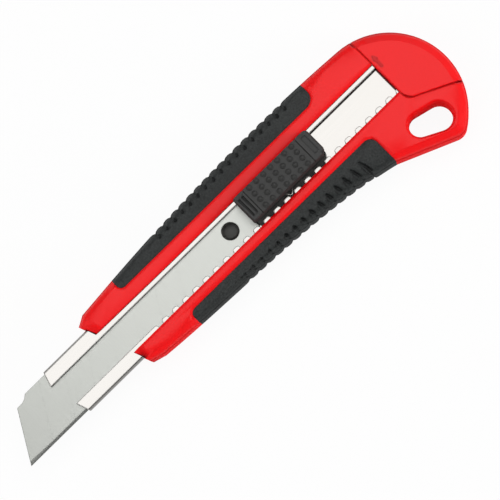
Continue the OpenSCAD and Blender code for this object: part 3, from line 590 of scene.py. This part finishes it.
def makeBlade(sizes):
    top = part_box("blade")[1][2] / mm
    bm = bmesh.new()
    bm.from_mesh(copyOf("blade"))
    for vertex in bm.verts:
        if abs(top - vertex.co.z / mm - sizes["scored"]) < sizes["near"]:
            vertex.co.z = (top - sizes["shallow"]) * mm
    mesh = meshFrom(bm, "scoredBlade")
    smoothBelow(mesh, sizes["softEdge"])
    return mesh


finishPiece("scoredBlade", makeBlade(bladeSizes), "carriage", bladeSteel, "blade")
print("blade made")


# Thumb pad with rounded nubs
padSizes = {
    "columns": 7, "rows": 4, "pitchX": 3.09, "pitchY": 2.5,
    "nubRadius": 0.95, "nubHeight": 0.45, "nubSunk": 0.05,
}


def makePad(sizes):
    low, high = [[value / mm for value in corner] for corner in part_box("thumb_pad")]
    top = high[2] - sizes["nubHeight"]
    bm = bmesh.new()
    addBox(bm, low, (high[0], high[1], top))
    # a nub is the top of a ball that is as wide as the nub where it leaves the pad
    ball = (sizes["nubRadius"] ** 2 + sizes["nubHeight"] ** 2) / (2 * sizes["nubHeight"])
    nub = bmesh.new()
    place = Matrix.Translation((0, 0, (high[2] - ball) * mm))
    bmesh.ops.create_uvsphere(nub, u_segments=24, v_segments=24, radius=ball * mm, matrix=place)
    bmesh.ops.bisect_plane(
        nub, geom=nub.verts[:] + nub.edges[:] + nub.faces[:],
        plane_co=(0, 0, (top - sizes["nubSunk"]) * mm), plane_no=(0, 0, -1), clear_outer=True,
    )
    nubMesh = meshFrom(nub, "nub")
    for i in range(sizes["columns"]):
        for j in range(sizes["rows"]):
            first = len(bm.verts)
            bm.from_mesh(nubMesh)
            bm.verts.ensure_lookup_table()
            x = (low[0] + high[0]) / 2 + (i - (sizes["columns"] - 1) / 2) * sizes["pitchX"]
            y = (low[1] + high[1]) / 2 + (j - (sizes["rows"] - 1) / 2) * sizes["pitchY"]
            bmesh.ops.translate(bm, verts=bm.verts[first:], vec=(x * mm, y * mm, 0))
    mesh = meshFrom(bm, "nubbedPad")
    smoothBelow(mesh, softEdge)
    return mesh


finishPiece("nubbedPad", makePad(padSizes), "carriage", padRubber, "thumb_pad")
print("pad made")


# Stud: a wide slope round its head
studSizes = {"x": -15.99, "inner": 2.2, "outer": 3.2, "top": 11.3, "fall": 1.15}


def makeStud(sizes):
    bm = bmesh.new()
    top = sizes["top"]
    corners = [(sizes["inner"], top), (sizes["outer"], top), (sizes["outer"], top - sizes["fall"])]
    face = bm.faces.new([bm.verts.new(((sizes["x"] + r) * mm, 0, z * mm)) for r, z in corners])
    bmesh.ops.spin(
        bm, geom=[face], cent=(sizes["x"] * mm, 0, 0), axis=(0, 0, 1), angle=math.tau, steps=48,
        use_merge=True,
    )
    bmesh.ops.delete(bm, geom=[face], context="FACES_ONLY")
    return carve("blade_carrier", meshFrom(bm, "studCutter"), "slopedStud")


finishPiece("slopedStud", makeStud(studSizes), "carriage", studPlastic, "blade_carrier")
print("stud carved")


# Floor, world, lights and camera
floorSizes = {
    "half": 3.0, "below": 0.0003, "color": (0.9, 0.9, 0.9, 1.0), "roughness": 0.9, "glow": 0.93,
}


def addRays(tree, withCamera):
    # 1 for the rays that gloss and glass send out, and for the camera's own if asked
    rays = addNode(tree, "LightPath").outputs
    mirrored = addMath(tree, "MAXIMUM", rays["Is Glossy Ray"], rays["Is Transmission Ray"])
    return addMath(tree, "MAXIMUM", mirrored, rays["Is Camera Ray"]) if withCamera else mirrored


def makeFloor(sizes):
    bm = bmesh.new()
    bmesh.ops.create_grid(bm, x_segments=1, y_segments=1, size=sizes["half"])
    bmesh.ops.translate(bm, verts=bm.verts, vec=(0, 0, -sizes["below"]))
    mesh = bpy.data.meshes.new("floor")
    bm.to_mesh(mesh)
    bm.free()
    floor = bpy.data.objects.new("floor", mesh)
    bpy.context.scene.collection.objects.link(floor)
    material = bpy.data.materials.new("paleFloor")
    material.use_nodes = True
    tree = material.node_tree
    shader = tree.nodes["Principled BSDF"]
    shader.inputs["Base Color"].default_value = sizes["color"]
    shader.inputs["Roughness"].default_value = sizes["roughness"]
    shader.inputs["Specular IOR Level"].default_value = 0.0
    white = addNode(tree, "Emission")
    white.inputs["Strength"].default_value = 1.0
    mix = addNode(tree, "MixShader")
    feed(tree, mix.inputs[0], addMath(tree, "MULTIPLY", addRays(tree, withCamera=True), sizes["glow"]))
    feed(tree, mix.inputs[1], shader.outputs[0])
    feed(tree, mix.inputs[2], white.outputs[0])
    feed(tree, tree.nodes["Material Output"].inputs["Surface"], mix.outputs[0])
    mesh.materials.append(material)


makeFloor(floorSizes)

# light is what falls on the object, mirrored what gloss shows at each height, from horizon to zenith
worldSizes = {"light": 0.12, "mirrored": ((0.0, 0.12), (0.2, 0.6), (0.6, 0.6), (0.8, 0.12))}


def makeWorld(sizes):
    # white behind the object, pale walls for gloss to mirror, and a weak even light
    world = bpy.data.worlds.new("studio")
    bpy.context.scene.world = world
    world.use_nodes = True
    tree = world.node_tree
    sky = tree.nodes["Background"]
    sky.inputs["Color"].default_value = (1.0, 1.0, 1.0, 1.0)
    place = addNode(tree, "TexCoord")
    parts = addNode(tree, "SeparateXYZ")
    feed(tree, parts.inputs[0], place.outputs["Generated"])
    walls = addNode(tree, "ValToRGB")
    stops = walls.color_ramp.elements
    for _ in range(len(sizes["mirrored"]) - 2):
        stops.new(0.5)
    for stop, (height, level) in zip(stops, sizes["mirrored"]):
        stop.position = height
        stop.color = (level, level, level, 1.0)
    feed(tree, walls.inputs["Fac"], parts.outputs["Z"])
    level = addBlend(tree, addRays(tree, withCamera=False), sizes["light"], walls.outputs["Color"])
    rays = addNode(tree, "LightPath")
    feed(tree, sky.inputs["Strength"], addMath(tree, "MAXIMUM", level, rays.outputs["Is Camera Ray"]))


makeWorld(worldSizes)

# the camera looks down, leans towards -Y by tilt and is rolled by turn, in degrees; the rest is in
# metres, span is the width that it sees at its aim, and sensor is in mm
cameraSizes = {
    "tilt": 6.75, "turn": 44.5, "distance": 0.86, "aim": (-0.0157, -0.00878, 0.011), "span": 0.15875,
    "sensor": 36.0, "near": 0.01, "far": 10.0,
}


def screenAxes(sizes):
    tilt = math.radians(sizes["tilt"])
    turn = math.radians(sizes["turn"])
    alongX = Vector((1, 0, 0))
    alongY = Vector((0, math.cos(tilt), math.sin(tilt)))
    right = alongX * math.cos(turn) - alongY * math.sin(turn)
    up = alongX * math.sin(turn) + alongY * math.cos(turn)
    return right, up, right.cross(up)


def addCamera(sizes):
    right, up, back = screenAxes(sizes)
    lens = bpy.data.cameras.new("camera")
    lens.sensor_width = sizes["sensor"]
    lens.lens = sizes["sensor"] * sizes["distance"] / sizes["span"]
    lens.clip_start = sizes["near"]
    lens.clip_end = sizes["far"]
    camera = bpy.data.objects.new("camera", lens)
    bpy.context.scene.collection.objects.link(camera)
    rows = Matrix((right, up, back)).transposed().to_4x4()
    camera.matrix_world = Matrix.Translation(Vector(sizes["aim"]) + back * sizes["distance"]) @ rows
    bpy.context.scene.camera = camera


addCamera(cameraSizes)
right = screenAxes(cameraSizes)[0]
lampSizes = {
    "overhead": {
        "place": (0.42, 0.325, 1.05), "target": (0.42, 0.325, 0.0), "size": (1.45, 0.85), "power": 6.8,
        "mirrored": True,
    },
    "fill": {
        "place": (0.45, -0.45, 1.2), "target": (0, 0, 0), "size": (1.5, 1.5), "power": 4.0,
        "mirrored": False,
    },
    "leftFill": {
        "place": (-0.8, 0.15, 0.6), "target": (0, 0, 0), "size": (1.0, 1.0), "power": 5.0,
        "mirrored": False,
    },
    "sideLamp": {
        "place": right * 0.85 + Vector((0, 0, 0.35)), "target": (0, 0, 0), "size": (0.25, 0.35),
        "power": 3.6, "mirrored": False,
    },
}


def addLamp(name, sizes):
    lamp = bpy.data.lights.new(name, "AREA")
    lamp.shape = "RECTANGLE"
    lamp.size, lamp.size_y = sizes["size"]
    lamp.energy = sizes["power"]
    holder = bpy.data.objects.new(name, lamp)
    bpy.context.scene.collection.objects.link(holder)
    place = Vector(sizes["place"])
    holder.location = place
    holder.rotation_euler = (Vector(sizes["target"]) - place).to_track_quat("-Z", "Y").to_euler()
    holder.visible_glossy = sizes["mirrored"]


for name, sizes in lampSizes.items():
    addLamp(name, sizes)
bpy.context.scene.view_settings.view_transform = "Standard"
print("floor, lights and camera placed")
